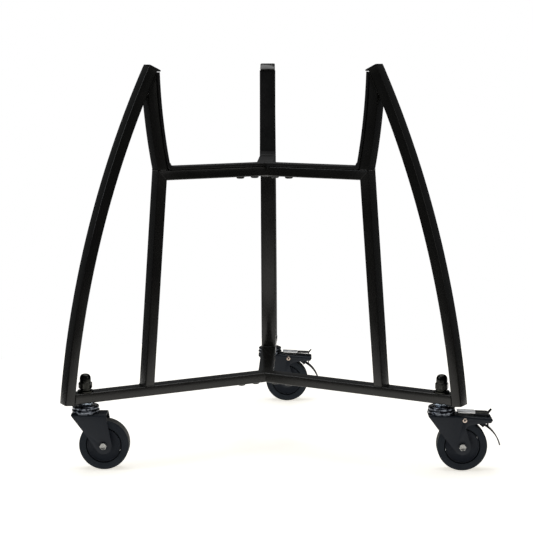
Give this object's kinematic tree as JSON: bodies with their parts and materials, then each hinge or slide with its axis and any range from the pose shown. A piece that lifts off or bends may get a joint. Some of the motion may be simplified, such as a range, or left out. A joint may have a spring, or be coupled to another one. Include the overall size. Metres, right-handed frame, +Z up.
{
  "type": "rolling cradle stand",
  "caption": "Rolling stand of bowed steel tube panels joined at a central hub; arms lined with rubber hold a round vessel above swivel casters, some with a foot brake.",
  "frame": {"origin": "middle of the stand's footprint box, on the floor under the wheels; the hub's axis stands 26 mm to -X and 84 mm to -Y of it", "axes": "+Z up, +Y towards the rear leg, +X towards the side the casters trail to"},
  "size_m": [0.6802, 0.5444, 0.6229],
  "materials": {
    "black_paint": "gloss black powder coat",
    "caster_paint": "smooth charcoal paint",
    "caster_plastic": "matt charcoal moulded plastic",
    "caster_rubber": "matt charcoal rubber tread",
    "rubber": "matt black rubber",
    "black_steel": "black-oxide steel",
    "bare_steel": "bare machined steel, out of sight",
    "dark_zinc": "dark polished zinc",
    "zinc": "bluish zinc plate",
    "bright_zinc": "bright zinc plate"
  },
  "bodies": {
    "frame": {"rear_lower_rail": "black_paint", "rear_leg": "black_paint", "rear_upright": "black_paint", "rear_upper_rail": "black_paint", "rear_arm": "black_paint", "rear_liner": "rubber", "rear_top_cap": "black_paint", "rear_stem": "zinc", "rear_washer": "dark_zinc", "rear_cap_nut": "dark_zinc", "left_lower_rail": "black_paint", "left_leg": "black_paint", "left_upright": "black_paint", "left_upper_rail": "black_paint", "left_arm": "black_paint", "left_liner": "rubber", "left_top_cap": "black_paint", "left_stem": "zinc", "left_washer": "dark_zinc", "left_cap_nut": "dark_zinc", "right_lower_rail": "black_paint", "right_leg": "black_paint", "right_upright": "black_paint", "right_upper_rail": "black_paint", "right_arm": "black_paint", "right_liner": "rubber", "right_top_cap": "black_paint", "right_stem": "zinc", "right_washer": "dark_zinc", "right_cap_nut": "dark_zinc", "lower_connector": "bare_steel", "upper_connector": "bare_steel", "lower_rear_bolt": "black_steel", "lower_left_bolt": "black_steel", "lower_right_bolt": "black_steel", "upper_rear_bolt": "black_steel", "upper_left_bolt": "black_steel", "upper_right_bolt": "black_steel"},
    "rear_swivel": {"rear_fork": "caster_paint", "rear_axle_bolt": "bright_zinc", "rear_axle_nut": "bright_zinc", "rear_brake_rivet": "bright_zinc"},
    "rear_wheel": {"rear_tyre": "caster_rubber", "rear_wheel_core": "caster_plastic"},
    "rear_pedal": {"rear_brake_pedal": "bright_zinc", "rear_brake_shoe": "rubber"},
    "left_swivel": {"left_fork": "caster_paint", "left_axle_bolt": "bright_zinc", "left_axle_nut": "bright_zinc"},
    "left_wheel": {"left_tyre": "caster_rubber", "left_wheel_core": "caster_plastic"},
    "right_swivel": {"right_fork": "caster_paint", "right_axle_bolt": "bright_zinc", "right_axle_nut": "bright_zinc", "right_brake_rivet": "bright_zinc"},
    "right_wheel": {"right_tyre": "caster_rubber", "right_wheel_core": "caster_plastic"},
    "right_pedal": {"right_brake_pedal": "bright_zinc", "right_brake_shoe": "rubber"}
  },
  "joints": [
    {"name": "rear_swivel_turn", "type": "hinge", "parent": "frame", "child": "rear_swivel", "pos_m": [-0.02612, 0.234, 0.0944], "axis": [0, 0, 1], "continuous": true},
    {"name": "rear_wheel_spin", "type": "hinge", "parent": "rear_swivel", "child": "rear_wheel", "pos_m": [0.00538, 0.234, 0.0386], "axis": [0, 1, 0], "continuous": true},
    {"name": "rear_pedal_press", "type": "hinge", "parent": "rear_swivel", "child": "rear_pedal", "pos_m": [0.00838, 0.234, 0.0804], "axis": [0, 1, 0], "range_deg": [0, 7]},
    {"name": "left_swivel_turn", "type": "hinge", "parent": "frame", "child": "left_swivel", "pos_m": [-0.30152, -0.243, 0.0944], "axis": [0, 0, 1], "continuous": true},
    {"name": "left_wheel_spin", "type": "hinge", "parent": "left_swivel", "child": "left_wheel", "pos_m": [-0.27302, -0.243, 0.0386], "axis": [0, 1, 0], "continuous": true},
    {"name": "right_swivel_turn", "type": "hinge", "parent": "frame", "child": "right_swivel", "pos_m": [0.24927, -0.243, 0.0944], "axis": [0, 0, 1], "continuous": true},
    {"name": "right_wheel_spin", "type": "hinge", "parent": "right_swivel", "child": "right_wheel", "pos_m": [0.28077, -0.243, 0.0386], "axis": [0, 1, 0], "continuous": true},
    {"name": "right_pedal_press", "type": "hinge", "parent": "right_swivel", "child": "right_pedal", "pos_m": [0.28377, -0.243, 0.0804], "axis": [0, 1, 0], "range_deg": [0, 7]}
  ]
}
